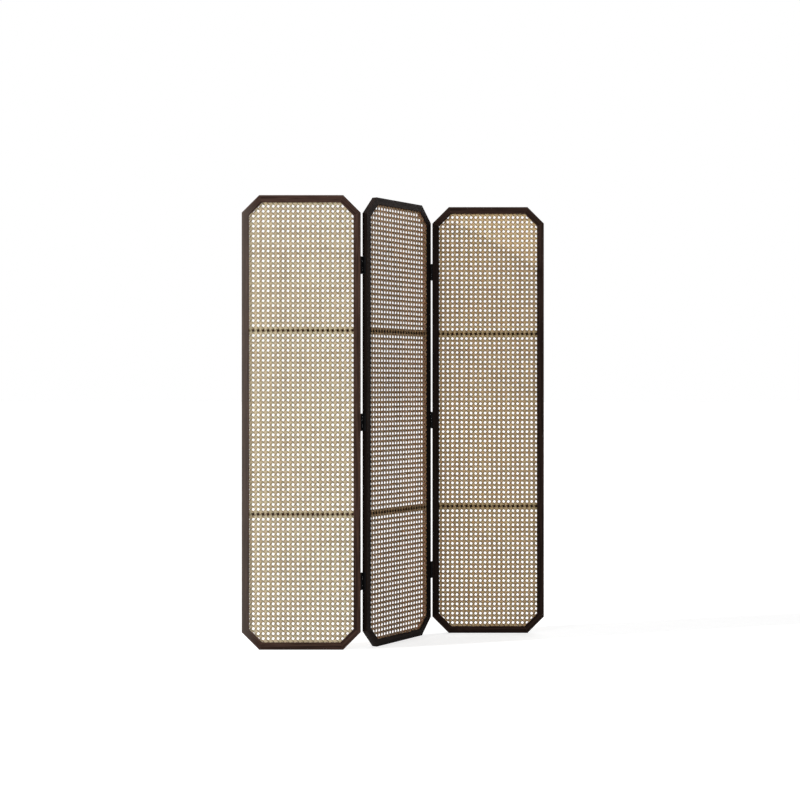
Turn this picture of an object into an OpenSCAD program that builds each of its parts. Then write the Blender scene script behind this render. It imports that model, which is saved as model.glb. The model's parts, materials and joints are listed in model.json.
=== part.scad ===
// Three-panel folding screen. Each panel is an upright octagonal frame of eight mitred
// members, filled with woven cane that is held in a rebate by beads. Two crossbars brace
// each panel behind its cane, and three butt hinges join each pair of panels.
// The origin is on the floor, under the middle of the centre panel, and the two outer
// panels are parallel to X. The front of the screen faces -Y.

/* [Panels] */
// Width of one panel
panel_w = 450; // [360:5:560]
// Height of one panel
panel_h = 1720; // [1400:10:2100]
// Thickness of one panel from front to back
panel_t = 22; // [18:0.5:28]
// Length cut off both edges at each corner
corner_cut = 66; // [50:1:90]
// Angle from the outer panels to the centre panel as the screen stands
fold_angle = 56; // [10:1:110]

/* [Frame] */
// Width of a frame member seen from the front
member_w = 27; // [22:0.5:38]
// Thickness of the front lip that covers the edge of the cane
lip_t = 3; // [2.5:0.5:8]
// Width of the rebate behind the lip
rebate_w = 9; // [7:0.5:11]
// Radius of the eased edges of the wood
ease_r = 1.2; // [0.4:0.1:2]

/* [Loose tongues] */
// Length of a tongue, half of it in each piece that it joins
tongue_l = 20; // [14:1:24]
// Thickness of a tongue
tongue_t = 5; // [3:0.5:6]
// Wood left beside a tongue at its narrowest place
tongue_wall = 2; // [1.5:0.1:3]
// Clearance round a tongue in its mortise
tongue_clear = 0.1; // [0.05:0.05:0.3]

/* [Crossbars] */
// Height of a crossbar
crossbar_h = 25; // [18:0.5:32]
// From the top or bottom of the panel to the middle of the nearer crossbar
crossbar_inset = 512; // [300:1:600]

/* [Cane] */
// Thickness of the woven cane
cane_t = 2.4; // [1.6:0.1:3.2]
// Clearance round the cane in its rebate
cane_clear = 0.3; // [0.1:0.1:0.5]
// Spacing of the eyes of the coarse net, which is five times that of the real weave
net_pitch = 94; // [84:1:130]
// Width of an eye across its flats
net_eye = 50; // [30:1:64]

/* [Beads] */
// Clearance from a bead to the frame, to the crossbars and to the next bead
bead_clear = 0.2; // [0.1:0.1:0.4]
// Radius of the rounded edge of a bead that faces the cane
bead_r = 3; // [1:0.5:4]
// Greatest spacing of the brads along a bead
brad_spacing = 140; // [80:5:200]
// Diameter of a brad
brad_d = 1.4; // [1:0.1:1.8]
// Depth that a brad bites into the frame
brad_bite = 5; // [3:0.5:6]
// Depth that a brad is set below the face of the bead
brad_set = 0.3; // [0.2:0.1:0.6]
// Clearance round a brad
brad_clear = 0.05; // [0.02:0.01:0.1]

/* [Hinges] */
// Height of a hinge leaf
hinge_h = 66; // [50:1:76]
// Width of a leaf from the hinge line to its free edge
leaf_w = 18; // [15:0.5:19]
// Thickness of a leaf
leaf_t = 1.8; // [1.4:0.1:2.4]
// Thickness left of a leaf where it reaches in behind the other leaf's knuckles
leaf_lip = 0.6; // [0.4:0.1:1]
// Radius of the free corners of a leaf
leaf_r = 2.5; // [1:0.5:4]
// Outside diameter of the knuckles
knuckle_d = 5.6; // [5.2:0.1:8]
// Number of knuckles of a hinge
knuckles = 5; // [3, 5, 7]
// Clearance between one knuckle and the next
knuckle_clear = 0.2; // [0.1:0.05:0.4]
// Clearance from the knuckles to the edge of the panel
edge_clear = 0.2; // [0.1:0.1:0.6]
// Distance of the hinge line outside the face of the panel
hinge_offset = 1.5; // [1:0.1:3]
// From the middle hinge to the upper and lower ones
hinge_spread = 600; // [450:5:630]
// How far the upper and lower hinges are set below even spacing
hinge_drop = 3.5; // [0:0.5:10]
// Diameter of a hinge pin
pin_d = 3; // [2.4:0.1:3.6]
// Radial running clearance of a pin
pin_clear = 0.05; // [0.02:0.01:0.1]
// Diameter of the flat heads of a pin
pin_head_d = 4.8; // [4:0.1:5.2]
// Thickness of a pin head
pin_head_t = 0.5; // [0.4:0.1:1]

/* [Hinge screws] */
// Diameter of a screw head
screw_head_d = 6.4; // [5.6:0.1:6.8]
// Diameter of a screw shank
screw_d = 3.2; // [2.8:0.1:3.6]
// Width and depth of the slot in a head
screw_slot = 0.8; // [0.6:0.1:1]
// Depth that a head is sunk below the face of the leaf
screw_sink = 0.1; // [0.05:0.05:0.2]
// Clearance round a screw
screw_clear = 0.05; // [0.02:0.01:0.1]
// From the end of a leaf to its end screws
screw_end = 9; // [7:0.5:14]
// From the hinge line to the middle screw
screw_near = 7.5; // [7:0.5:9]
// From the free edge of a leaf to its end screws
screw_edge = 5; // [4.5:0.5:6]
// Wood left between the tips of the screws and the tips of the brads
tip_gap = 3; // [2:0.5:4]

/* [Hidden] */
$fn = 48;
over = 1; // how far a cutter runs past the face that it opens

PANELS = ["left", "centre", "right"];
// The sides of a panel in turn, starting at its right and going over its top
SIDES = ["right_stile", "top_right_corner", "top_rail", "top_left_corner",
         "left_stile", "bottom_left_corner", "bottom_rail", "bottom_right_corner"];
CROSSBARS = ["lower_crossbar", "upper_crossbar"];
JOINTS = ["left", "right"];
HEIGHTS = ["bottom", "middle", "top"];

NODES = [
    for (panel = PANELS) for (side = SIDES) str(panel, "_", side),
    for (panel = PANELS) for (bar = CROSSBARS) str(panel, "_", bar),
    for (panel = PANELS) each [str(panel, "_cane"), str(panel, "_beads")],
    for (panel = PANELS) each [str(panel, "_loose_tongues"), str(panel, "_bead_brads")],
    for (joint = JOINTS) for (height = HEIGHTS) each [
        str(joint, "_hinge_", height, "_centre_leaf"),
        str(joint, "_hinge_", height, "_side_leaf")],
    for (joint = JOINTS) str(joint, "_hinge_pins"),
    for (panel = PANELS) str(panel, "_hinge_screws")];
node = "all";

wood_colour = [0.21, 0.165, 0.14];
bead_colour = [0.24, 0.19, 0.16];
tongue_colour = [0.72, 0.55, 0.36];
cane_colour = [0.78, 0.70, 0.58];
hinge_colour = [0.07, 0.07, 0.075];
steel_colour = [0.55, 0.55, 0.56];

// The octagon
turn = 45;                                          // from one side to the next
mitre = tan(turn / 2);                              // length lost at an end per unit of depth
side_at = [panel_w / 2, (panel_w / 2 + panel_h / 2 - corner_cut) / sqrt(2), panel_h / 2];
side_l = [panel_h - 2 * corner_cut, corner_cut * sqrt(2), panel_w - 2 * corner_cut];
function side_kind(side) = side % 2 == 1 ? 1 : side % 4;
function side_distance(side) = side_at[side_kind(side)];
function side_length(side) = side_l[side_kind(side)];
// A corner piece lies this far along its side's line from the foot of the perpendicular
function side_shift(side) =
    side % 2 == 0 ? 0 : (side % 4 == 1 ? 1 : -1) * (panel_h - panel_w) / 2 / sqrt(2);
// Corner points of the octagon at a depth inside its outer edge, from the panel's middle
function octagon(depth) =
    let (x = panel_w / 2 - depth, z = panel_h / 2 - depth, cut = corner_cut - depth * (2 - sqrt(2)))
    [[x, cut - z], [x, z - cut], [x - cut, z], [cut - x, z],
     [-x, z - cut], [-x, cut - z], [cut - x, -z], [x - cut, -z]];

// Front to back
core_w = member_w - rebate_w;                       // full-depth part of a member
cane_y = -panel_t / 2 + lip_t + cane_clear;         // front face of the cane
bead_y = cane_y + cane_t + cane_clear;              // front face of the beads and crossbars
bead_t = panel_t / 2 - bead_y;                      // their depth, flush with the back
bead_mid = bead_y + bead_t / 2;

// Upright places, from the panel's middle
crossbar_z = panel_h / 2 - crossbar_inset;
hinge_z = [-hinge_spread - hinge_drop, 0, hinge_spread - hinge_drop];

// A tongue fills the core of a member between two walls, past the slant of the mitre
tongue_w = (core_w - 2 * tongue_wall - tongue_l / 2 * sin(turn / 2)) / cos(turn / 2);
tongue_in = (core_w - tongue_wall) / cos(turn / 2) - tongue_w / 2;

// Hinges
panel_gap = knuckle_d + 2 * edge_clear;             // between two panels standing in line
hinge_x = panel_w / 2 + panel_gap / 2;              // hinge line from the panel's middle
hinge_y = panel_t / 2 + hinge_offset;
knuckle_pitch = hinge_h / knuckles;
line_x = hinge_x * cos(fold_angle) + hinge_y * sin(fold_angle);     // right hinge line
line_y = hinge_x * sin(fold_angle) - hinge_y * cos(fold_angle);
screw_bite = core_w - brad_bite - tip_gap;          // length of a screw in the wood
screw_l = leaf_t - screw_sink + screw_bite;
screw_far = leaf_w - screw_edge;                    // from the hinge line to the end screws
screw_spots = [[screw_far, screw_end - hinge_h / 2], [screw_near, 0],
               [screw_far, hinge_h / 2 - screw_end]];

// ---------------------------------------------------------------- places

// Puts a panel drawn at the origin, front to -Y, in its place on the floor
module in_panel(panel) {
    away = panel == "left" ? -1 : 1;
    if (panel == "centre")
        rotate([0, 0, fold_angle]) translate([0, 0, panel_h / 2]) children();
    else
        translate([away * (line_x + hinge_x), away * (line_y + hinge_y), panel_h / 2])
            children();
}

// On the outer face of a side: +X outwards, +Z along it, at the middle of its length
module on_side(side) {
    rotate([0, -turn * side, 0]) translate([side_distance(side), 0, side_shift(side)])
        children();
}

// On the mitre at the end of a side: +X outwards along the seam, +Z across it
module on_mitre(side) {
    on_side(side) translate([0, 0, side_length(side) / 2]) rotate([0, -turn / 2, 0]) children();
}

// On the hinge line of a panel: the panel is at -X and the face beside the line looks to -Y.
// The left hinge line is behind the panels and the right one is in front of them.
module on_hinge_line(panel, joint) {
    right_edge = (panel == "centre") == (joint == "right");
    behind = joint == "left";
    translate([(right_edge ? 1 : -1) * hinge_x, (behind ? 1 : -1) * hinge_y, 0])
        mirror([right_edge ? 0 : 1, 0, 0]) mirror([0, behind ? 1 : 0, 0]) children();
}

// Every joint that a panel has a part in
function joints_of(panel) = panel == "centre" ? JOINTS : [panel];

// Every hinge screw of one panel, at the face of its leaf, with +Z out of the wood
module at_screws(panel) {
    for (joint = joints_of(panel)) on_hinge_line(panel, joint)
        for (z = hinge_z, spot = screw_spots)
            translate([leaf_t - panel_gap / 2, spot[0], z + spot[1]]) rotate([0, 90, 0])
                children();
}

// ---------------------------------------------------------------- wood

// A square corner's waste outside an eased edge, in the corner of the first quadrant
module ease(r) {
    difference() {
        translate([-over, -over]) square(r + over);
        translate([r, r]) circle(r);
    }
}

// Cross-section of a frame member: the outside at x = 0, the front at the bottom
module member_profile() {
    difference() {
        translate([-member_w, -panel_t / 2]) square([member_w, panel_t]);
        translate([-member_w - over, lip_t - panel_t / 2]) square([rebate_w + over, panel_t]);
        translate([-member_w, -panel_t / 2]) ease(ease_r);
        translate([0, -panel_t / 2]) rotate(90) ease(ease_r);
        translate([0, panel_t / 2]) rotate(180) ease(ease_r);
    }
}

// Cross-section of a bead: its rounded edge is at the back, towards the cane
module bead_profile() {
    difference() {
        translate([-member_w, bead_y]) square([rebate_w - bead_clear, bead_t]);
        translate([-member_w, panel_t / 2]) rotate(-90) ease(bead_r);
    }
}

// Keeps what lies between the two mitres of a side, less a gap at each
module between_mitres(side, gap = 0) {
    half = side_length(side) / 2 - gap;
    deep = member_w + over;
    intersection() {
        children();
        rotate([90, 0, 0]) linear_extrude(panel_t + 2 * over, center = true)
            polygon([[over, half + over * mitre], [over, -half - over * mitre],
                     [-deep, deep * mitre - half], [-deep, half - deep * mitre]]);
    }
}

// A loose tongue across a seam, with rounded edges and its length along Z
module tongue(clear = 0) {
    flat = tongue_w - tongue_t;
    linear_extrude(tongue_l + 2 * clear, center = true) {
        square([flat, tongue_t + 2 * clear], center = true);
        for (x = [-flat, flat] / 2) translate([x, 0]) circle(d = tongue_t + 2 * clear);
    }
}

module mitre_tongue(side, clear = 0) {
    on_mitre(side) translate([-tongue_in, bead_mid, 0]) tongue(clear);
}

module crossbar_tongue(z, end, clear = 0) {
    translate([end * (panel_w / 2 - core_w), bead_mid, z]) rotate([0, 90, 0]) tongue(clear);
}

module all_tongues(clear = 0) {
    for (side = [0:7]) mitre_tongue(side, clear);
    for (z = [-crossbar_z, crossbar_z], end = [-1, 1]) crossbar_tongue(z, end, clear);
}

// Stretches of bead along a side, as pairs of ends. Crossbars break the beads of the stiles.
function bead_runs(side) =
    let (end = side_length(side) / 2 - member_w * mitre,
         low = crossbar_z - crossbar_h / 2, high = crossbar_z + crossbar_h / 2)
    side % 4 == 0 ? [[-end, -high], [-low, low], [high, end]] : [[-end, end]];

function brad_places(side) = [
    for (run = bead_runs(side))
        let (length = run[1] - run[0], count = ceil(length / brad_spacing))
        for (i = [0:count - 1]) run[0] + length * (i + 0.5) / count];

module brads(side, clear = 0) {
    for (along = brad_places(side))
        translate([brad_set - member_w - clear, bead_mid, along]) rotate([0, 90, 0])
            cylinder(h = rebate_w - brad_set + brad_bite + 2 * clear, d = brad_d + 2 * clear);
}

module member(panel, side) {
    stile = side % 4 == 0;
    color(wood_colour) in_panel(panel) difference() {
        on_side(side) between_mitres(side)
            linear_extrude(side_length(side) + 2 * over, center = true) member_profile();
        mitre_tongue(side, tongue_clear);
        mitre_tongue((side + 7) % 8, tongue_clear);
        on_side(side) brads(side, brad_clear);
        if (stile) {
            for (z = [-crossbar_z, crossbar_z])
                crossbar_tongue(z, side == 0 ? 1 : -1, tongue_clear);
            intersection() {
                on_side(side) translate([-core_w, -panel_t, -panel_h / 2])
                    cube([core_w + over, 2 * panel_t, panel_h]);
                at_screws(panel) screw(screw_clear);
            }
        }
    }
}

module crossbar(panel, z) {
    half = panel_w / 2 - core_w;
    color(wood_colour) in_panel(panel) difference() {
        translate([-half, 0, z]) rotate([90, 0, 90]) linear_extrude(2 * half) difference() {
            translate([bead_y, -crossbar_h / 2]) square([bead_t, crossbar_h]);
            translate([panel_t / 2, -crossbar_h / 2]) rotate(90) ease(ease_r);
            translate([panel_t / 2, crossbar_h / 2]) rotate(180) ease(ease_r);
        }
        for (end = [-1, 1]) crossbar_tongue(z, end, tongue_clear);
    }
}

module beads(panel) {
    color(bead_colour) in_panel(panel) difference() {
        for (side = [0:7]) on_side(side) difference() {
            between_mitres(side, bead_clear / 2)
                linear_extrude(side_length(side), center = true) bead_profile();
            brads(side, brad_clear);
        }
        for (z = [-crossbar_z, crossbar_z])
            translate([-panel_w / 2, bead_y - over, z - crossbar_h / 2 - bead_clear])
                cube([panel_w, bead_t + 2 * over, crossbar_h + 2 * bead_clear]);
    }
}

module loose_tongues(panel) {
    color(tongue_colour) in_panel(panel) all_tongues();
}

module bead_brads(panel) {
    color(steel_colour) in_panel(panel) for (side = [0:7]) on_side(side) brads(side);
}

// ---------------------------------------------------------------- cane

// The cane as a coarse net: rows of octagonal eyes, left out where a corner piece is near
module cane(panel) {
    columns = floor((panel_w - 2 * member_w) / net_pitch);
    rows = floor((panel_h - 2 * member_w) / net_pitch);
    reach = side_distance(1) - member_w - net_eye / 2;
    color(cane_colour) in_panel(panel) translate([0, cane_y + cane_t, 0]) rotate([90, 0, 0])
        linear_extrude(cane_t) difference() {
            polygon(octagon(core_w + cane_clear));
            for (i = [0:columns - 1], k = [0:rows - 1])
                let (x = (i - (columns - 1) / 2) * net_pitch, z = (k - (rows - 1) / 2) * net_pitch)
                if ((abs(x) + abs(z)) / sqrt(2) < reach)
                    translate([x, z]) rotate(turn / 2)
                        circle(d = net_eye / cos(turn / 2), $fn = 8);
        }
}

// ---------------------------------------------------------------- hinges

// A countersunk wood screw with its head at z = 0 and its shank below
module screw(clear = 0) {
    head_h = (screw_head_d - screw_d) / 2;
    translate([0, 0, -screw_sink]) {
        if (clear > 0) cylinder(h = over, d = screw_head_d + 2 * clear);
        translate([0, 0, -head_h]) cylinder(h = head_h, d1 = screw_d + 2 * clear,
                                            d2 = screw_head_d + 2 * clear);
        translate([0, 0, -screw_l - clear]) cylinder(h = screw_l + clear - head_h / 2,
                                                     d = screw_d + 2 * clear);
    }
}

module slotted_screw() {
    difference() {
        screw();
        translate([-screw_head_d, -screw_slot / 2, -screw_sink - screw_slot])
            cube([2 * screw_head_d, screw_slot, screw_slot + over]);
    }
}

// Ends of a knuckle, counted from the bottom of the hinge
function knuckle_ends(i) = [i * knuckle_pitch - hinge_h / 2 + knuckle_clear / 2,
                            (i + 1) * knuckle_pitch - hinge_h / 2 - knuckle_clear / 2];

module knuckle(i) {
    ends = knuckle_ends(i);
    translate([0, 0, ends[0]]) cylinder(h = ends[1] - ends[0], d = knuckle_d);
}

// The notch in one leaf round a knuckle of the other: it follows the knuckle closely, so that
// no light shows beside it, down to a lip that lies on the wood
module notch(i) {
    ends = knuckle_ends(i);
    h = ends[1] - ends[0] + 2 * knuckle_clear;
    reach = panel_gap / 2;
    translate([0, 0, ends[0] - knuckle_clear]) {
        cylinder(h = h, r = reach);
        translate([-reach - over, -over, 0])
            cube([leaf_t + 2 * over, over + sqrt(leaf_lip * (2 * reach - leaf_lip)), h]);
    }
}

// The flat of a leaf, from the hinge line across the edge of its panel
module leaf_plate() {
    translate([-panel_gap / 2, 0, 0]) rotate([90, 0, 90]) linear_extrude(leaf_t) difference() {
        translate([0, -hinge_h / 2]) square([leaf_w, hinge_h]);
        translate([leaf_w, -hinge_h / 2]) rotate(90) ease(leaf_r);
        translate([leaf_w, hinge_h / 2]) rotate(180) ease(leaf_r);
    }
}

// A leaf on the edge of its panel. Its knuckles start with the first or the second one.
module leaf(panel, joint, height, first) {
    color(hinge_colour) in_panel(panel) on_hinge_line(panel, joint)
        translate([0, 0, hinge_z[height]]) difference() {
            union() {
                difference() {
                    leaf_plate();
                    for (i = [1 - first:2:knuckles - 1]) notch(i);
                }
                for (i = [first:2:knuckles - 1]) knuckle(i);
            }
            cylinder(h = hinge_h + 2 * over, d = pin_d + 2 * pin_clear, center = true);
            for (spot = screw_spots)
                translate([leaf_t - panel_gap / 2, spot[0], spot[1]]) rotate([0, 90, 0])
                    screw(screw_clear);
        }
}

// Pins with a flat head at each end, a hair clear of the outer knuckles
module hinge_pins(joint) {
    color(hinge_colour) in_panel("centre") on_hinge_line("centre", joint)
        for (z = hinge_z) translate([0, 0, z]) {
            cylinder(h = hinge_h + pin_head_t, d = pin_d, center = true);
            for (end = [0, 1]) mirror([0, 0, end])
                translate([0, 0, hinge_h / 2]) cylinder(h = pin_head_t, d = pin_head_d);
        }
}

module hinge_screws(panel) {
    color(hinge_colour) in_panel(panel) at_screws(panel) slotted_screw();
}

// ---------------------------------------------------------------- the screen

function wanted(name) = node == "all" || node == name;

for (panel = PANELS) {
    for (side = [0:7]) if (wanted(str(panel, "_", SIDES[side]))) member(panel, side);
    if (wanted(str(panel, "_lower_crossbar"))) crossbar(panel, -crossbar_z);
    if (wanted(str(panel, "_upper_crossbar"))) crossbar(panel, crossbar_z);
    if (wanted(str(panel, "_cane"))) cane(panel);
    if (wanted(str(panel, "_beads"))) beads(panel);
    if (wanted(str(panel, "_loose_tongues"))) loose_tongues(panel);
    if (wanted(str(panel, "_bead_brads"))) bead_brads(panel);
    if (wanted(str(panel, "_hinge_screws"))) hinge_screws(panel);
}
for (joint = JOINTS) {
    for (height = [0:2]) {
        if (wanted(str(joint, "_hinge_", HEIGHTS[height], "_centre_leaf")))
            leaf("centre", joint, height, 0);
        if (wanted(str(joint, "_hinge_", HEIGHTS[height], "_side_leaf")))
            leaf(joint, joint, height, 1);
    }
    if (wanted(str(joint, "_hinge_pins"))) hinge_pins(joint);
}
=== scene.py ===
"""Finishes a folding screen: three panels of woven cane in dark wooden frames, on black hinges.

The wooden frames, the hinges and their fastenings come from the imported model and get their
finishes here. The cane is woven here, strand by strand: upright pairs, level pairs and two sets
of diagonals, which leave eight-sided eyes. Lengths are in metres.
"""

import json
import math
import random

import bmesh
import bpy
from bpy.props import FloatProperty, FloatVectorProperty, IntProperty, PointerProperty
from bpy.types import Operator, Panel, PropertyGroup
from mathutils import Matrix, Vector


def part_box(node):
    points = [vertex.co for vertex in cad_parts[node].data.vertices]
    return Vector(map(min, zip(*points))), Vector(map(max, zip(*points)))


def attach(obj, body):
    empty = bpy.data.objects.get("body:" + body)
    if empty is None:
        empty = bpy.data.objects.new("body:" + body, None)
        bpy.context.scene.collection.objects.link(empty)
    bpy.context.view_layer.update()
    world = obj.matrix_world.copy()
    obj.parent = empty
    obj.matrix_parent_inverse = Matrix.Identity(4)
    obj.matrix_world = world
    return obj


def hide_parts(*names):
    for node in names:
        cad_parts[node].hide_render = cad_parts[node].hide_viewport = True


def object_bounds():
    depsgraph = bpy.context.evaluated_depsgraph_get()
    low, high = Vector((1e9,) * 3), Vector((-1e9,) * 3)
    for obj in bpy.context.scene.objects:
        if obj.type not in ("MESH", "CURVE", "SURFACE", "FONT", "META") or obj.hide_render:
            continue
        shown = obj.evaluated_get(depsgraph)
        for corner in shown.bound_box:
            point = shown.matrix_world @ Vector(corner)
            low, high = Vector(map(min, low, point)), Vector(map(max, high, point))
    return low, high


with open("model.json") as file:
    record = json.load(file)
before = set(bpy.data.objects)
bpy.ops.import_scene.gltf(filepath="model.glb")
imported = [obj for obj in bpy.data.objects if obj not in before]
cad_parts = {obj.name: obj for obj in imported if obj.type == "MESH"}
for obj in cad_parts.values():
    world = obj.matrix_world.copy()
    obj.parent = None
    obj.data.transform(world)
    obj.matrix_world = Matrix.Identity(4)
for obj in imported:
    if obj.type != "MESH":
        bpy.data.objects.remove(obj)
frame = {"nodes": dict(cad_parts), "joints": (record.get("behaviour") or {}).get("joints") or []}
cad_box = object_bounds()

bl_info = {
    "name": "Folding cane screen",
    "version": (1, 0, 0),
    "blender": (4, 5, 0),
    "location": "View3D > Sidebar > Cane screen",
    "description": "Weaves the cane of a folding screen and finishes its wood and hinges",
    "category": "Object",
}

SIDES = ("left", "centre", "right")
HINGE_SIDES = ("left", "right")
HINGE_HEIGHTS = ("bottom", "middle", "top")

FOLD_ANGLE = math.radians(frame["joints"][0]["range_deg"][1])
CORNER_CUT = 0.066  # how much each outer corner of a panel loses along its edges
ROWS_BETWEEN_BARS = 37  # rows of eyes from the lower crossbar up to the upper one

BACK = Vector((0, 1, 0))
UP = Vector((0, 0, 1))
ACROSS = Vector((1, 0, 0))

# How much each panel's stain is darkened, as painted shade. The centre and right panels are made darker,
# to look as dark under the lights here as they do in the shade of the photo
PANEL_SHADE = {"left": 1.0, "centre": 0.2, "right": 0.54}
# Painted shade: two stiles are made darker still, for the deep shade in the right fold
DEEP_FOLD_SHADE = {"centre_right_stile": 0.2, "right_left_stile": 0.4}
# How light the beads are, the same on all panels: a light brown shows through the last eyes at
# the far edge of the centre panel
BEAD_LIGHTNESS = 4.5
# How light the crossbars and the loose tongues are, against the frame of their panel
BAR_LIGHTNESS = 0.8
TONGUE_LIGHTNESS = 4.0
# What each panel's cane colours are multiplied by: painted shade, darker and warmer on the centre panel
# and warmer on the right, to match the warmer shade of the photo
CANE_SHADE_TONES = {"left": (1.0, 1.0, 1.0), "centre": (0.86, 0.69, 0.59), "right": (1.05, 0.92, 0.77)}

# How fine the marks of the wood are, in turns of the noise to a metre: along the grain, through
# the wood and across the grain
FIGURE_SCALE = (4.5, 150, 150)
PORE_SCALE = (28, 1150, 1150)
WOOD_PATCH_SCALE = 3.1
# How fine the marks of the metal are, in turns of the noise to a metre
SKIN_SCALE = 900.0
CLOUD_SCALE = 70.0
# How fine the marks of the cane are, in turns of the noise: over a strand's width, to a metre
# along it, and over a tint of 1
FIBRE_SCALE = (14, 90, 37)
CANE_PATCH_SCALE = (0.6, 7, 53)

# How ripe the strands are, where 0 is fresh, and how far each can lie out of its place. The diagonals'
# tints are high, which paints them darker as painted shade for the gaps and shadows along them
PAIR_TINTS = (0.0, 0.35)
PAIR_DRIFT = 0.0001
DIAGONAL_SHADE_TINTS = (0.82, 1.04)
DIAGONAL_DRIFT = 0.0007

# The skin side of a strand is rounded off, so it is narrower than the back
SKIN_SHARE = 0.62
# How far a strand of a pair lies level to each side of an eye's middle, in parts of the pitch
LEVEL_SHARE = 0.21
# How far strands rise and fall in the weave, in parts of their thickness
PAIR_LIFT = 0.57
DIAGONAL_LIFT = 1.08
# A diagonal's way from eye to eye: how far it has come, in parts of the pitch, and its height
# there, in parts of the highest
DIAGONAL_CYCLE = ((-0.2, -0.92), (0.0, -1.0), (0.2, -0.92), (0.3, 0.92), (0.5, 1.0), (0.7, 0.92))

SENSOR_WIDTH = 36  # in millimetres
FAR = 6  # how many metres off the far lights are hung
FLOOR_GREY = 0.42
FLOOR_GLOW = 0.74  # brings the lit floor up to white

# The grain's turn about the panel's depth, from level
GRAIN_TURNS = {
    "left_stile": math.radians(-90),
    "right_stile": math.radians(-90),
    "top_rail": 0.0,
    "bottom_rail": 0.0,
    "top_left_corner": math.radians(-45),
    "bottom_right_corner": math.radians(-45),
    "top_right_corner": math.radians(45),
    "bottom_left_corner": math.radians(45),
}


# ---------------------------------------------------------------- settings


class CaneSettings(PropertyGroup):
    """Sizes and colours of the woven cane."""

    pair_width: FloatProperty(
        name="Pair strand width",
        description="Width of each strand of the upright and level pairs",
        default=0.0042,
        min=0.001,
        unit="LENGTH",
    )
    pair_spacing: FloatProperty(
        name="Pair spacing",
        description="Distance between the middles of a pair's two strands",
        default=0.0044,
        min=0.001,
        unit="LENGTH",
    )
    diagonal_width: FloatProperty(
        name="Diagonal strand width",
        description="Width of each diagonal strand",
        default=0.0032,
        min=0.001,
        unit="LENGTH",
    )
    strand_thickness: FloatProperty(
        name="Strand thickness",
        description="Thickness of every strand",
        default=0.0007,
        min=0.0002,
        unit="LENGTH",
    )
    eye_offset: FloatProperty(
        name="Eye offset",
        description="Place of a column of eyes beside the middle of the two outer panels",
        default=0.0065,
        unit="LENGTH",
    )
    centre_eye_offset: FloatProperty(
        name="Centre eye offset",
        description="Place of a column of eyes beside the middle of the centre panel",
        default=0.0132,
        unit="LENGTH",
    )
    skin_colour: FloatVectorProperty(
        name="Skin",
        description="Colour of the pale, glossy skin of the cane",
        subtype="COLOR",
        size=4,
        min=0,
        max=1,
        default=(0.82, 0.69, 0.46, 1),
    )
    # Colour of the ripe patches and fibres, and of the painted shade on the diagonals
    ripe_and_shade_colour: FloatVectorProperty(
        name="Ripe skin",
        description="Colour of the darker strands and patches",
        subtype="COLOR",
        size=4,
        min=0,
        max=1,
        default=(0.20, 0.138, 0.075, 1),
    )
    # Colour of the cut edges, which also paints shade along the gaps between the strands
    edge_and_shade_colour: FloatVectorProperty(
        name="Cut edges",
        description="Colour of the fibrous edges of a strand",
        subtype="COLOR",
        size=4,
        min=0,
        max=1,
        default=(0.20, 0.13, 0.07, 1),
    )
    seed: IntProperty(
        name="Seed",
        description="Start of the random tints of the strands",
        default=7,
    )


class WoodSettings(PropertyGroup):
    """Colours and gloss of the stained wood."""

    stain_colour: FloatVectorProperty(
        name="Stain",
        description="Middle colour of the stained wood",
        subtype="COLOR",
        size=4,
        min=0,
        max=1,
        default=(0.080, 0.044, 0.033, 1),
    )
    pore_colour: FloatVectorProperty(
        name="Pores",
        description="Colour of the dark pores and late wood",
        subtype="COLOR",
        size=4,
        min=0,
        max=1,
        default=(0.020, 0.010, 0.0075, 1),
    )
    worn_colour: FloatVectorProperty(
        name="Worn edges",
        description="Colour of the edges where the stain has rubbed thin",
        subtype="COLOR",
        size=4,
        min=0,
        max=1,
        default=(0.15, 0.092, 0.065, 1),
    )
    # Painted sheen: the paler, greyer colour that the screen's left edge is painted with, for the sheen
    # of the light from the left
    painted_sheen_colour: FloatVectorProperty(
        name="Faded",
        description="Colour of the paler, greyer stain at the screen's left edge",
        subtype="COLOR",
        size=4,
        min=0,
        max=1,
        default=(0.15, 0.127, 0.110, 1),
    )
    # How far the painted sheen reaches in from the screen's left edge
    painted_sheen_reach: FloatProperty(
        name="Fade reach",
        description="How far the fading reaches in from the screen's left edge",
        default=0.06,
        min=0.001,
        unit="LENGTH",
    )
    wear_width: FloatProperty(
        name="Wear width",
        description="How far the wear reaches from an edge",
        default=0.0012,
        min=0.0001,
        unit="LENGTH",
    )


class MetalSettings(PropertyGroup):
    """Colours of the hinges and the small metal parts."""

    paint_colour: FloatVectorProperty(
        name="Black paint",
        description="Colour of the painted hinges, pins and screws",
        subtype="COLOR",
        size=4,
        min=0,
        max=1,
        default=(0.010, 0.010, 0.011, 1),
    )
    steel_colour: FloatVectorProperty(
        name="Bare steel",
        description="Colour of the brads and of metal where the paint has worn off",
        subtype="COLOR",
        size=4,
        min=0,
        max=1,
        default=(0.30, 0.29, 0.27, 1),
    )


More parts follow.
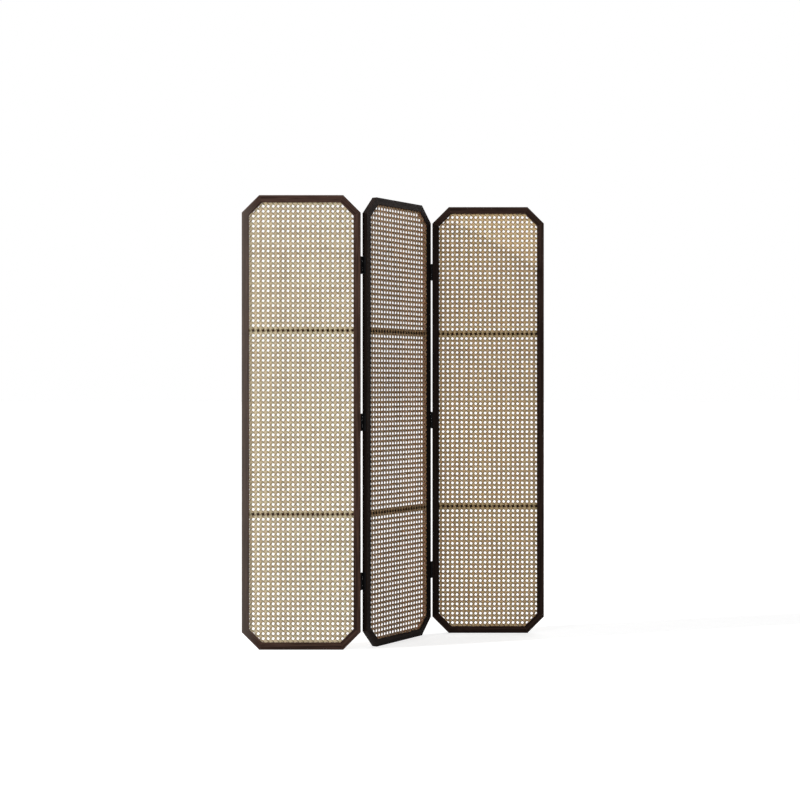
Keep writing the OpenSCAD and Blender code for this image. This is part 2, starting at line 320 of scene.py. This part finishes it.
class StageSettings(PropertyGroup):
    """Camera, floor and light."""

    lens: FloatProperty(
        name="Lens",
        description="Focal length in millimetres on a sensor 36 mm wide",
        default=68.40,
        min=1,
    )
    camera_place: FloatVectorProperty(
        name="Camera",
        description="Where the camera stands; it looks level along +Y",
        subtype="TRANSLATION",
        unit="LENGTH",
        size=3,
        default=(-0.0185, -5.9545, 1.0035),
    )
    camera_shift: FloatVectorProperty(
        name="Shift",
        description="Shift of the lens, across and up, in parts of the picture's width",
        size=2,
        default=(0.00875, -0.0194),
    )
    key_direction: FloatVectorProperty(
        name="Key light direction",
        description="The way the key light travels",
        subtype="DIRECTION",
        size=3,
        default=(3.05, 1.0, -1.342),
    )
    key_strength: FloatProperty(
        name="Key strength",
        description="Strength of the key light",
        default=3.2,
        min=0,
    )
    key_spread: FloatProperty(
        name="Key spread",
        description="Angle that the key light fills, which softens its shadows",
        subtype="ANGLE",
        default=math.radians(2.0),
    )
    fill_strength: FloatProperty(
        name="Fill strength",
        description="Strength of the even light from all round",
        default=0.12,
        min=0,
    )
    soft_place: FloatVectorProperty(
        name="Soft light",
        description="Where the middle of the large soft light is",
        subtype="TRANSLATION",
        unit="LENGTH",
        size=3,
        default=(-2.3, -3.1, 1.9),
    )
    soft_size: FloatProperty(
        name="Soft light size",
        description="Length of each side of the soft light",
        default=1.6,
        min=0.01,
        unit="LENGTH",
    )
    soft_power: FloatProperty(
        name="Soft light power",
        description="Power of the soft light",
        default=64.0,
        min=0,
        unit="POWER",
    )
    back_direction: FloatVectorProperty(
        name="Back light direction",
        description="The way the broad light from behind travels",
        subtype="DIRECTION",
        size=3,
        default=(-0.5, -1.0, -0.35),
    )
    back_strength: FloatProperty(
        name="Back strength",
        description="Strength of the broad light from behind",
        default=3.5,
        min=0,
    )
    back_spread: FloatProperty(
        name="Back spread",
        description="Angle that the light from behind fills",
        subtype="ANGLE",
        default=math.radians(80.0),
    )
    floor_size: FloatProperty(
        name="Floor size",
        description="Length of each side of the floor",
        default=160.0,
        unit="LENGTH",
    )


# ---------------------------------------------------------------- places


def joint_box(nodes):
    """The box round several nodes together, as its lowest and highest corner."""
    boxes = [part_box(node) for node in nodes]
    low = Vector(min(box[0][axis] for box in boxes) for axis in range(3))
    high = Vector(max(box[1][axis] for box in boxes) for axis in range(3))
    return low, high


def panel_centre(side):
    """The middle of a panel."""
    low, high = joint_box([f"{side}_{member}" for member in GRAIN_TURNS])
    return (low + high) / 2


def panel_turn(side):
    """How far a panel is turned about the vertical: only the centre one is."""
    return FOLD_ANGLE if side == "centre" else 0.0


def panel_place(side):
    """Takes a point from a panel's own frame, centred on the panel, to the object's frame."""
    return Matrix.Translation(panel_centre(side)) @ Matrix.Rotation(panel_turn(side), 4, "Z")


# ---------------------------------------------------------------- node helpers


def add(tree, kind, inputs=None, **settings):
    """Adds a shader node; an input is given a number or a colour, or the socket that feeds it."""
    made = tree.nodes.new("ShaderNode" + kind)
    for name, value in settings.items():
        setattr(made, name, value)
    for name, value in (inputs or {}).items():
        if isinstance(value, bpy.types.NodeSocket):
            tree.links.new(value, made.inputs[name])
        else:
            made.inputs[name].default_value = value
    return made


def mix_colours(tree, factor, first, second):
    """Mixes two colours by a factor and returns the mixed colour's socket."""
    factor_in, first_in, second_in, colour_out = 0, 6, 7, 2
    inputs = {factor_in: factor, first_in: first, second_in: second}
    return add(tree, "Mix", inputs, data_type="RGBA").outputs[colour_out]


def spread(tree, value, low, high, to_low=0.0, to_high=1.0):
    """Maps a value from one range to another, and returns the socket."""
    inputs = {"Value": value, "From Min": low, "From Max": high}
    inputs |= {"To Min": to_low, "To Max": to_high}
    return add(tree, "MapRange", inputs).outputs["Result"]


def new_finish(name, **sockets):
    """A new material; the words give constants of its shader, with _ for a space."""
    material = bpy.data.materials.new(name)
    material.use_nodes = True
    tree = material.node_tree
    shader = tree.nodes["Principled BSDF"]
    for socket, value in sockets.items():
        shader.inputs[socket.replace("_", " ")].default_value = value
    return material, tree, shader


def edge_mask(tree, width):
    """1 at the edges of a piece and 0 on its flats."""
    rounded = add(tree, "Bevel", {"Radius": width}, samples=6)
    flat = add(tree, "NewGeometry")
    inputs = {0: rounded.outputs["Normal"], 1: flat.outputs["Normal"]}
    likeness = add(tree, "VectorMath", inputs, operation="DOT_PRODUCT").outputs["Value"]
    return spread(tree, likeness, 0.995, 0.86)


def bump(tree, shader, height, strength, distance):
    """Raises a surface by a height, given as a socket."""
    inputs = {"Strength": strength, "Distance": distance, "Height": height}
    normal = add(tree, "Bump", inputs).outputs["Normal"]
    tree.links.new(normal, shader.inputs["Normal"])


def dress(node_name, material):
    """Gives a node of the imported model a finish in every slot."""
    node = frame["nodes"][node_name]
    if not node.material_slots:
        node.data.materials.append(material)
    for slot in node.material_slots:
        slot.material = material


# ---------------------------------------------------------------- wood


def wood_finish(name, wood, side, grain_turn, lightness=1.0):
    """Dark stained, open-pored wood, whose grain runs along the piece."""
    finish = {"Specular_IOR_Level": 0.06, "Diffuse_Roughness": 0.3}
    material, tree, shader = new_finish(name, **finish)
    place = add(tree, "TexCoord").outputs["Object"]
    inputs = {
        "Vector": place,
        "Location": panel_centre(side),
        "Rotation": (0, grain_turn, panel_turn(side)),
    }
    along = add(tree, "Mapping", inputs, vector_type="TEXTURE").outputs["Vector"]

    stretched = add(tree, "Mapping", {"Vector": along, "Scale": FIGURE_SCALE}).outputs["Vector"]
    inputs = {"Vector": stretched, "Scale": 1.0, "Detail": 5.0, "Roughness": 0.62}
    figure = add(tree, "TexNoise", inputs).outputs["Fac"]
    fine = add(tree, "Mapping", {"Vector": along, "Scale": PORE_SCALE}).outputs["Vector"]
    inputs = {"Vector": fine, "Scale": 1.0, "Detail": 2.0, "Roughness": 0.5}
    streaks = add(tree, "TexNoise", inputs).outputs["Fac"]
    pores = spread(tree, streaks, 0.52, 0.70)
    inputs = {"Vector": along, "Scale": WOOD_PATCH_SCALE, "Detail": 2.0, "Distortion": 0.4}
    patches = add(tree, "TexNoise", inputs).outputs["Fac"]

    # Painted shade: the panel's factor darkens the wood of the centre and right panels
    lightness *= PANEL_SHADE[side]
    early = [channel * lightness for channel in wood.stain_colour[:3]] + [1]
    late = [channel * lightness for channel in wood.pore_colour[:3]] + [1]
    banded = mix_colours(tree, spread(tree, figure, 0.38, 0.58), late, early)
    patchy = mix_colours(tree, spread(tree, patches, 0.30, 0.72, 0.0, 0.25), banded, early)
    pored = mix_colours(tree, spread(tree, pores, 0.0, 1.0, 0.0, 0.75), patchy, late)
    # Painted sheen: the wood near the screen's left edge is mixed towards a paler, greyer colour
    left_edge = cad_box[0].x
    across = add(tree, "SeparateXYZ", {"Vector": place}).outputs["X"]
    sheen_mask = spread(tree, across, left_edge, left_edge + wood.painted_sheen_reach, 0.52, 0.0)
    sheened = mix_colours(tree, sheen_mask, pored, tuple(wood.painted_sheen_colour))
    rubbed = add(tree, "Math", {0: edge_mask(tree, wood.wear_width), 1: patches}, operation="MULTIPLY")
    worn = mix_colours(tree, rubbed.outputs["Value"], sheened, tuple(wood.worn_colour))
    tree.links.new(worn, shader.inputs["Base Color"])

    tree.links.new(spread(tree, figure, 0.3, 0.7, 0.66, 0.50), shader.inputs["Roughness"])
    relief = add(tree, "Math", {0: figure, 1: pores}, operation="SUBTRACT").outputs["Value"]
    bump(tree, shader, relief, 0.35, 0.0004)
    return material


class CANE_SCREEN_OT_finish_frames(Operator):
    """Stain the stiles, rails and corner pieces, with the grain along each of them"""

    bl_idname = "cane_screen.finish_frames"
    bl_label = "Finish the frames"

    def execute(self, context):
        wood = context.scene.screen_wood
        for side in SIDES:
            finishes = {}
            for member, turn in GRAIN_TURNS.items():
                piece = f"{side}_{member}"
                # Painted shade: the two stiles in the right fold get a darker finish of their own
                if piece in DEEP_FOLD_SHADE:
                    dress(piece, wood_finish(f"{piece}_wood", wood, side, turn, DEEP_FOLD_SHADE[piece]))
                    continue
                if turn not in finishes:
                    degrees = round(math.degrees(turn)) % 180
                    finishes[turn] = wood_finish(f"{side}_wood_{degrees}", wood, side, turn)
                dress(piece, finishes[turn])
        return {"FINISHED"}


class CANE_SCREEN_OT_finish_inner_wood(Operator):
    """Finish the crossbars, the beads that hold the cane, and the loose tongues"""

    bl_idname = "cane_screen.finish_inner_wood"
    bl_label = "Finish the inner wood"

    def execute(self, context):
        wood = context.scene.screen_wood
        for side in SIDES:
            level = wood_finish(f"{side}_bar_wood", wood, side, 0.0, BAR_LIGHTNESS)
            dress(f"{side}_lower_crossbar", level)
            dress(f"{side}_upper_crossbar", level)
            # The beads leave out their panel's painted shade
            pale = BEAD_LIGHTNESS / PANEL_SHADE[side]
            upright = wood_finish(f"{side}_bead_wood", wood, side, math.radians(-90), pale)
            dress(f"{side}_beads", upright)
            tongue = wood_finish(f"{side}_tongue_wood", wood, side, 0.0, TONGUE_LIGHTNESS)
            dress(f"{side}_loose_tongues", tongue)
        return {"FINISHED"}


# ---------------------------------------------------------------- metal


def metal_finish(name, metal, painted):
    """Metal with a faint skin of paint or brushing, bare along its edges."""
    cover = tuple(metal.paint_colour if painted else metal.steel_colour)
    finish = {"Specular_IOR_Level": 0.08} if painted else {"Metallic": 0.9}
    material, tree, shader = new_finish(name, **finish)
    place = add(tree, "TexCoord").outputs["Object"]
    inputs = {"Vector": place, "Scale": SKIN_SCALE, "Detail": 2.0}
    skin = add(tree, "TexNoise", inputs).outputs["Fac"]
    inputs = {"Vector": place, "Scale": CLOUD_SCALE, "Detail": 3.0}
    cloud = add(tree, "TexNoise", inputs).outputs["Fac"]
    inputs = {0: edge_mask(tree, 0.0004), 1: spread(tree, cloud, 0.55, 0.80, 0.0, 0.15)}
    rubbed = add(tree, "Math", inputs, operation="MULTIPLY").outputs["Value"]
    dark = [channel * 0.7 for channel in cover[:3]] + [1]
    clouded = mix_colours(tree, spread(tree, cloud, 0.3, 0.7), dark, cover)
    worn = mix_colours(tree, rubbed, clouded, tuple(metal.steel_colour))
    tree.links.new(worn, shader.inputs["Base Color"])
    tree.links.new(spread(tree, cloud, 0.3, 0.7, 0.38, 0.55), shader.inputs["Roughness"])
    bump(tree, shader, skin, 0.12, 0.0002)
    return material


class CANE_SCREEN_OT_finish_hinges(Operator):
    """Paint the hinge leaves, pins and screws black, and leave the brads bare"""

    bl_idname = "cane_screen.finish_hinges"
    bl_label = "Finish the hinges"

    def execute(self, context):
        metal = context.scene.screen_metal
        paint = metal_finish("black_paint", metal, painted=True)
        steel = metal_finish("bare_steel", metal, painted=False)
        for side in HINGE_SIDES:
            for height in HINGE_HEIGHTS:
                for leaf in ("centre_leaf", "side_leaf"):
                    dress(f"{side}_hinge_{height}_{leaf}", paint)
            dress(f"{side}_hinge_pins", paint)
        for side in SIDES:
            dress(f"{side}_hinge_screws", paint)
            dress(f"{side}_bead_brads", steel)
        return {"FINISHED"}


# ---------------------------------------------------------------- cane


class CaneField:
    """The eight-sided field that one panel's cane fills, in the panel's own frame."""

    def __init__(self, side, cane):
        self.side = side
        self.place = panel_place(side)
        low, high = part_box("left_cane")
        self.half_width = (high.x - low.x) / 2
        self.half_height = (high.z - low.z) / 2
        self.depth = (low.y + high.y) / 2 - panel_centre("left").y
        stile_low, stile_high = joint_box(["left_left_stile", "left_right_stile"])
        inset = (stile_high.x - stile_low.x) / 2 - self.half_width
        self.corner_cut = CORNER_CUT - inset * (2 - math.sqrt(2))
        bars = [sum(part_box(f"left_{height}_crossbar"), Vector()) / 2 for height in ("lower", "upper")]
        self.pitch = (bars[1].z - bars[0].z) / ROWS_BETWEEN_BARS
        self.eye_z = bars[0].z - panel_centre("left").z
        self.eye_x = cane.centre_eye_offset if side == "centre" else cane.eye_offset

    def limits(self):
        """The eight planes that trim the cane, each as a point on it and its way out."""
        planes = []
        for way in (ACROSS, -ACROSS):
            planes.append((way * self.half_width, way))
        for way in (UP, -UP):
            planes.append((way * self.half_height, way))
        for x in (-1, 1):
            for z in (-1, 1):
                corner = Vector((x * (self.half_width - self.corner_cut), 0, z * self.half_height))
                planes.append((corner, Vector((x, 0, z)).normalized()))
        return planes


def lay_strand(mesh, course, along, across, width, thickness):
    """Draws one strand's section out along its course, a list of (distance, depth) places."""
    section = [(-0.5, 0.5), (0.5, 0.5), (SKIN_SHARE / 2, -0.5), (-SKIN_SHARE / 2, -0.5)]
    last_distance, last_depth = course[0]
    origin = along * last_distance + BACK * last_depth
    corners = [mesh.verts.new(origin + across * (a * width) + BACK * (d * thickness)) for a, d in section]
    rim = mesh.faces.new(corners).edges[:]
    for distance, depth in course[1:]:
        made = bmesh.ops.extrude_edge_only(mesh, edges=rim)["geom"]
        ends = [item for item in made if isinstance(item, bmesh.types.BMVert)]
        rim = [item for item in made if isinstance(item, bmesh.types.BMEdge)]
        rim = [edge for edge in rim if all(vert in ends for vert in edge.verts)]
        step = along * (distance - last_distance) + BACK * (depth - last_depth)
        bmesh.ops.translate(mesh, verts=ends, vec=step)
        last_distance, last_depth = distance, depth
    bmesh.ops.edgeloop_fill(mesh, edges=rim)
    bmesh.ops.recalc_face_normals(mesh, faces=mesh.faces[:])


def map_strand(mesh, along, across, width):
    """Unrolls a strand: U runs over its width and V along it, in metres."""
    layer = mesh.loops.layers.uv.new("strand")
    for face in mesh.faces:
        face.smooth = True
        for loop in face.loops:
            place = loop.vert.co
            loop[layer].uv = (place.dot(across) / width + 0.5, place.dot(along))
    for edge in mesh.edges:
        if any(abs(face.normal.dot(BACK)) < 0.5 for face in edge.link_faces):
            behind = any(face.normal.dot(BACK) > 0.5 for face in edge.link_faces)
            capped = any(abs(face.normal.dot(along)) > 0.9 for face in edge.link_faces)
            edge.smooth = not (behind or capped)


def new_strand(course, along, across, width, thickness):
    """One whole strand as a mesh of its own, lying through the origin."""
    mesh = bmesh.new()
    lay_strand(mesh, course, along, across, width, thickness)
    map_strand(mesh, along, across, width)
    return mesh


def pair_course(field, cane, reach, start, side_of_pair):
    """The way of an upright or level strand: flat by the eyes, up and down in the crossings."""
    pitch, half_pair = field.pitch, cane.pair_spacing / 2
    flat = LEVEL_SHARE * pitch
    lift = PAIR_LIFT * cane.strand_thickness * side_of_pair
    cycle = [(-flat, 0), (flat, 0), (pitch / 2 - half_pair, lift), (pitch / 2 + half_pair, -lift)]
    first = math.floor((-reach - start) / pitch) - 1
    last = math.ceil((reach - start) / pitch)
    return [
        (start + i * pitch + at, field.depth + depth)
        for i in range(first, last + 1)
        for at, depth in cycle
    ]


def diagonal_course(field, cane, reach, over_uprights):
    """The way of a diagonal: over one set of pairs and under the other."""
    pitch = field.pitch
    crest = DIAGONAL_LIFT * cane.strand_thickness * (-1 if over_uprights else 1)
    first = math.floor((-reach - field.eye_x) / pitch) - 1
    last = math.ceil((reach - field.eye_x) / pitch)
    return [
        ((field.eye_x + (i + at) * pitch) * math.sqrt(2), field.depth + crest * rise)
        for i in range(first, last + 1)
        for at, rise in DIAGONAL_CYCLE
    ]


def repeat_strand(mesh, strand, shift, tint):
    """Copies one strand into the cane, moved sideways, with its own tint."""
    before = len(mesh.verts)
    copy = bpy.data.meshes.new("strand")
    strand.to_mesh(copy)
    mesh.from_mesh(copy)
    bpy.data.meshes.remove(copy)
    mesh.verts.ensure_lookup_table()
    added = mesh.verts[before:]
    layer = mesh.verts.layers.float["tint"]
    for vert in added:
        vert[layer] = tint
    bmesh.ops.translate(mesh, verts=added, vec=shift)


def trim_to_field(mesh, field):
    """Cuts the strands off at the edge of the field and closes their ends."""
    for point, way_out in field.limits():
        cut = bmesh.ops.bisect_plane(
            mesh,
            geom=mesh.verts[:] + mesh.edges[:] + mesh.faces[:],
            dist=1e-7,
            plane_co=point,
            plane_no=way_out,
            clear_outer=True,
        )["geom_cut"]
        open_edges = [item for item in cut if isinstance(item, bmesh.types.BMEdge)]
        if open_edges:
            bmesh.ops.edgeloop_fill(mesh, edges=open_edges)
    if any(not edge.is_manifold for edge in mesh.edges):
        raise RuntimeError(f"the {field.side} panel's cane has strands with open ends")


def hang_cane(name, mesh, field, material):
    """Makes the woven strands a piece of their panel."""
    bmesh.ops.transform(mesh, matrix=field.place, verts=mesh.verts[:])
    data = bpy.data.meshes.new(name)
    mesh.to_mesh(data)
    mesh.free()
    data.materials.append(material)
    piece = bpy.data.objects.new(name, data)
    bpy.context.scene.collection.objects.link(piece)
    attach(piece, field.side + "_panel")
    return piece


def cane_finish(name, cane, shade_tone):
    """Pale, glossy cane, with fibres along each strand, a tint for each strand, and the panel's painted
    shade multiplied into its colours.
    """
    finish = {
        "Specular_IOR_Level": 0.10,
        "Subsurface_Weight": 0.6,
        "Subsurface_Scale": 0.001,
        "Subsurface_Radius": (1.9, 1.5, 1.2),
    }
    material, tree, shader = new_finish(name, **finish)
    where = add(tree, "UVMap", uv_map="strand").outputs["UV"]
    tint = add(tree, "Attribute", attribute_name="tint").outputs["Fac"]
    parts = add(tree, "SeparateXYZ", {"Vector": where}).outputs
    inputs = {"X": parts["X"], "Y": parts["Y"], "Z": tint}
    own_place = add(tree, "CombineXYZ", inputs).outputs["Vector"]

    fibre_place = add(tree, "Mapping", {"Vector": own_place, "Scale": FIBRE_SCALE}).outputs["Vector"]
    inputs = {"Vector": fibre_place, "Scale": 1.0, "Detail": 3.0, "Roughness": 0.6}
    fibres = add(tree, "TexNoise", inputs).outputs["Fac"]
    patch_place = add(tree, "Mapping", {"Vector": own_place, "Scale": CANE_PATCH_SCALE}).outputs["Vector"]
    inputs = {"Vector": patch_place, "Scale": 1.0, "Detail": 2.0}
    patches = add(tree, "TexNoise", inputs).outputs["Fac"]

    # The tint gives the pairs their ripeness and paints the diagonals darker as painted shade
    ripeness_and_shade = add(tree, "Math", {0: tint, 1: patches}, operation="ADD").outputs["Value"]
    # Each colour is multiplied by the panel's painted shade
    skin, ripe_and_shade, cut = (
        tuple(channel * share for channel, share in zip(colour, shade_tone + (1,)))
        for colour in (cane.skin_colour, cane.ripe_and_shade_colour, cane.edge_and_shade_colour)
    )
    skinned = mix_colours(tree, spread(tree, ripeness_and_shade, 0.45, 1.50), skin, ripe_and_shade)
    lined = mix_colours(tree, spread(tree, fibres, 0.45, 0.75, 0.0, 0.30), skinned, ripe_and_shade)
    off_middle = add(tree, "Math", {0: parts["X"], 1: 0.5}, operation="SUBTRACT").outputs["Value"]
    from_middle = add(tree, "Math", {0: off_middle}, operation="ABSOLUTE").outputs["Value"]
    # The edges of each strand are darkened: partly their browner cut, partly painted shade for the gaps
    # between the strands
    edge_and_shade_mask = spread(tree, from_middle, 0.32, 0.50, 0.0, 0.45)
    tree.links.new(mix_colours(tree, edge_and_shade_mask, lined, cut), shader.inputs["Base Color"])

    tree.links.new(spread(tree, fibres, 0.3, 0.7, 0.38, 0.58), shader.inputs["Roughness"])
    bump(tree, shader, fibres, 0.25, 0.0002)
    return material


def strand_finish(cane, side):
    """The finish that all strands of a panel share, made where it is first needed."""
    name = side + "_woven_cane"
    return bpy.data.materials.get(name) or cane_finish(name, cane, CANE_SHADE_TONES[side])


def strand_draws(cane, field, kind, count, low, high):
    """Random numbers from low to high: one for each strand, and the same on each run."""
    source = random.Random(f"{cane.seed} {field.side} {kind}")
    return [source.uniform(low, high) for _ in range(count)]


def places_within(start, step, reach):
    """All places start + i * step between -reach and reach."""
    first = math.ceil((-reach - start) / step)
    last = math.floor((reach - start) / step)
    return [start + i * step for i in range(first, last + 1)]


def weave_pairs(cane, field, name, along, across, length, breadth, start_along, start_across):
    """Weaves all strands of one direction, which lie in pairs between the eyes."""
    mesh = bmesh.new()
    mesh.verts.layers.float.new("tint")
    reach = breadth - cane.pair_width / 2
    for side_of_pair in (-1, 1):
        course = pair_course(field, cane, length, start_along, side_of_pair)
        strand = new_strand(course, along, across, cane.pair_width, cane.strand_thickness)
        first = start_across + field.pitch / 2 + side_of_pair * cane.pair_spacing / 2
        places = places_within(first, field.pitch, reach)
        kind = f"{name} {side_of_pair}"
        tints = strand_draws(cane, field, kind, len(places), *PAIR_TINTS)
        drifts = strand_draws(cane, field, kind + " drift", len(places), -PAIR_DRIFT, PAIR_DRIFT)
        for place, tint, drift in zip(places, tints, drifts):
            repeat_strand(mesh, strand, across * (place + drift), tint)
        strand.free()
    trim_to_field(mesh, field)
    return hang_cane(f"{field.side}_{name}", mesh, field, strand_finish(cane, field.side))


def weave_diagonals(cane, field, name, rise):
    """Weaves the diagonals that rise to the right, or fall to it where rise is -1."""
    along = Vector((1, 0, rise)).normalized()
    across = Vector((-rise, 0, 1)).normalized()
    course = diagonal_course(field, cane, field.half_width, over_uprights=rise > 0)
    strand = new_strand(course, along, across, cane.diagonal_width, cane.strand_thickness)
    mesh = bmesh.new()
    mesh.verts.layers.float.new("tint")
    reach = field.half_height + field.half_width
    first = field.eye_z - rise * (field.eye_x + field.pitch / 2)
    places = places_within(first, field.pitch, reach)
    tints = strand_draws(cane, field, name, len(places), *DIAGONAL_SHADE_TINTS)
    drifts = strand_draws(cane, field, name + " drift", len(places), -DIAGONAL_DRIFT, DIAGONAL_DRIFT)
    for place, tint, drift in zip(places, tints, drifts):
        repeat_strand(mesh, strand, UP * (place + drift), tint)
    strand.free()
    trim_to_field(mesh, field)
    return hang_cane(f"{field.side}_{name}", mesh, field, strand_finish(cane, field.side))


class CANE_SCREEN_OT_weave_uprights(Operator):
    """Weave the upright pairs of each panel's cane, in place of its plain net"""

    bl_idname = "cane_screen.weave_uprights"
    bl_label = "Weave the upright pairs"

    def execute(self, context):
        cane = context.scene.screen_cane
        for side in SIDES:
            field = CaneField(side, cane)
            size = {"length": field.half_height, "breadth": field.half_width}
            starts = {"start_along": field.eye_z, "start_across": field.eye_x}
            uprights = weave_pairs(cane, field, "cane_uprights", UP, ACROSS, **size, **starts)
            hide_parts(side + "_cane")
        return {"FINISHED"}


class CANE_SCREEN_OT_weave_levels(Operator):
    """Weave the level pairs through the uprights"""

    bl_idname = "cane_screen.weave_levels"
    bl_label = "Weave the level pairs"

    def execute(self, context):
        cane = context.scene.screen_cane
        for side in SIDES:
            field = CaneField(side, cane)
            size = {"length": field.half_width, "breadth": field.half_height}
            starts = {"start_along": field.eye_x, "start_across": field.eye_z}
            weave_pairs(cane, field, "cane_levels", ACROSS, UP, **size, **starts)
        return {"FINISHED"}


class CANE_SCREEN_OT_weave_diagonals(Operator):
    """Weave the two sets of diagonals, which cut the corners of the eyes"""

    bl_idname = "cane_screen.weave_diagonals"
    bl_label = "Weave the diagonals"

    def execute(self, context):
        cane = context.scene.screen_cane
        for side in SIDES:
            field = CaneField(side, cane)
            weave_diagonals(cane, field, "cane_rising", 1)
            weave_diagonals(cane, field, "cane_falling", -1)
        return {"FINISHED"}


# ---------------------------------------------------------------- stage


def seen_directly(tree):
    """1 for what the camera sees, also in a gloss or through glass, and 0 for lighting rays."""
    path = add(tree, "LightPath").outputs
    inputs = {0: path["Is Camera Ray"], 1: path["Is Glossy Ray"]}
    either = add(tree, "Math", inputs, operation="MAXIMUM").outputs["Value"]
    inputs = {0: either, 1: path["Is Transmission Ray"]}
    return add(tree, "Math", inputs, operation="MAXIMUM").outputs["Value"]


def light_world(stage):
    """An even fill from all round, which is seen as plain white."""
    world = bpy.data.worlds.new("studio")
    bpy.context.scene.world = world
    world.use_nodes = True
    tree = world.node_tree
    tree.nodes.clear()
    inputs = {"Color": (1, 1, 1, 1), "Strength": stage.fill_strength}
    fill = add(tree, "Background", inputs).outputs["Background"]
    white = add(tree, "Background", {"Color": (1, 1, 1, 1), "Strength": 1.0}).outputs["Background"]
    shader = add(tree, "MixShader", {0: seen_directly(tree), 1: fill, 2: white}).outputs["Shader"]
    add(tree, "OutputWorld", {"Surface": shader})


def floor_finish():
    """A pale floor that is seen as white, apart from the shadows on it."""
    material = bpy.data.materials.new("floor")
    material.use_nodes = True
    tree = material.node_tree
    tree.nodes.clear()
    matt = add(tree, "BsdfDiffuse", {"Color": (FLOOR_GREY, FLOOR_GREY, FLOOR_GREY, 1)}).outputs["BSDF"]
    inputs = {0: seen_directly(tree), 1: FLOOR_GLOW}
    glow = add(tree, "Math", inputs, operation="MULTIPLY").outputs["Value"]
    shine = add(tree, "Emission", {"Strength": glow}).outputs["Emission"]
    shader = add(tree, "AddShader", {0: matt, 1: shine}).outputs["Shader"]
    add(tree, "OutputMaterial", {"Surface": shader})
    return material


def lay_floor(stage):
    """A level floor under the screen."""
    mesh = bmesh.new()
    bmesh.ops.create_grid(mesh, x_segments=2, y_segments=2, size=stage.floor_size / 2)
    bmesh.ops.translate(mesh, verts=mesh.verts[:], vec=UP * cad_box[0].z)
    data = bpy.data.meshes.new("floor")
    mesh.to_mesh(data)
    mesh.free()
    data.materials.append(floor_finish())
    floor = bpy.data.objects.new("floor", data)
    bpy.context.scene.collection.objects.link(floor)


def hang_lamp(lamp, place, way):
    """Hangs a lamp at a place, turned to shine the given way."""
    light = bpy.data.objects.new(lamp.name, lamp)
    bpy.context.scene.collection.objects.link(light)
    light.location = place
    light.rotation_euler = way.to_track_quat("-Z", "Y").to_euler()


def hang_far_light(name, direction, strength, angle):
    """A light so far away that its rays are parallel, apart from the angle it fills."""
    lamp = bpy.data.lights.new(name, "SUN")
    lamp.energy = strength
    lamp.angle = angle
    way = Vector(direction).normalized()
    hang_lamp(lamp, way * -FAR, way)


def hang_soft_light(stage):
    """A large square light, in front and to the left."""
    lamp = bpy.data.lights.new("soft", "AREA")
    lamp.size = stage.soft_size
    lamp.energy = stage.soft_power
    place = Vector(stage.soft_place)
    hang_lamp(lamp, place, panel_centre("centre") - place)


def stand_camera(stage):
    """A camera that looks level along +Y."""
    lens = bpy.data.cameras.new("camera")
    lens.sensor_width = SENSOR_WIDTH
    lens.lens = stage.lens
    lens.shift_x, lens.shift_y = stage.camera_shift
    camera = bpy.data.objects.new("camera", lens)
    bpy.context.scene.collection.objects.link(camera)
    camera.location = stage.camera_place
    camera.rotation_euler = (math.radians(90), 0, 0)
    bpy.context.scene.camera = camera


class CANE_SCREEN_OT_set_stage(Operator):
    """Set the camera, the pale floor and the studio light"""

    bl_idname = "cane_screen.set_stage"
    bl_label = "Set the stage"

    def execute(self, context):
        stage = context.scene.screen_stage
        light_world(stage)
        lay_floor(stage)
        hang_far_light("key", stage.key_direction, stage.key_strength, stage.key_spread)
        hang_far_light("back", stage.back_direction, stage.back_strength, stage.back_spread)
        hang_soft_light(stage)
        stand_camera(stage)
        context.scene.view_settings.view_transform = "Standard"
        return {"FINISHED"}


# ---------------------------------------------------------------- add-on


class CANE_SCREEN_PT_sidebar(Panel):
    """Lists the steps that finish the screen"""

    bl_label = "Cane screen"
    bl_idname = "CANE_SCREEN_PT_sidebar"
    bl_space_type = "VIEW_3D"
    bl_region_type = "UI"
    bl_category = "Cane screen"

    def draw(self, context):
        for step in STEPS:
            self.layout.operator(step.bl_idname)


SETTINGS = {
    "screen_cane": CaneSettings,
    "screen_wood": WoodSettings,
    "screen_metal": MetalSettings,
    "screen_stage": StageSettings,
}
STEPS = (
    CANE_SCREEN_OT_finish_frames,
    CANE_SCREEN_OT_finish_inner_wood,
    CANE_SCREEN_OT_finish_hinges,
    CANE_SCREEN_OT_weave_uprights,
    CANE_SCREEN_OT_weave_levels,
    CANE_SCREEN_OT_weave_diagonals,
    CANE_SCREEN_OT_set_stage,
)
CLASSES = (*SETTINGS.values(), *STEPS, CANE_SCREEN_PT_sidebar)


def register():
    for part in CLASSES:
        bpy.utils.register_class(part)
    for name, settings in SETTINGS.items():
        setattr(bpy.types.Scene, name, PointerProperty(type=settings))


def unregister():
    for name in SETTINGS:
        delattr(bpy.types.Scene, name)
    for part in reversed(CLASSES):
        bpy.utils.unregister_class(part)


def main():
    register()
    bpy.ops.cane_screen.finish_frames()
    bpy.ops.cane_screen.finish_inner_wood()
    bpy.ops.cane_screen.finish_hinges()
    bpy.ops.cane_screen.weave_uprights()
    bpy.ops.cane_screen.weave_levels()
    bpy.ops.cane_screen.weave_diagonals()
    bpy.ops.cane_screen.set_stage()


if __name__ == "__main__":
    main()
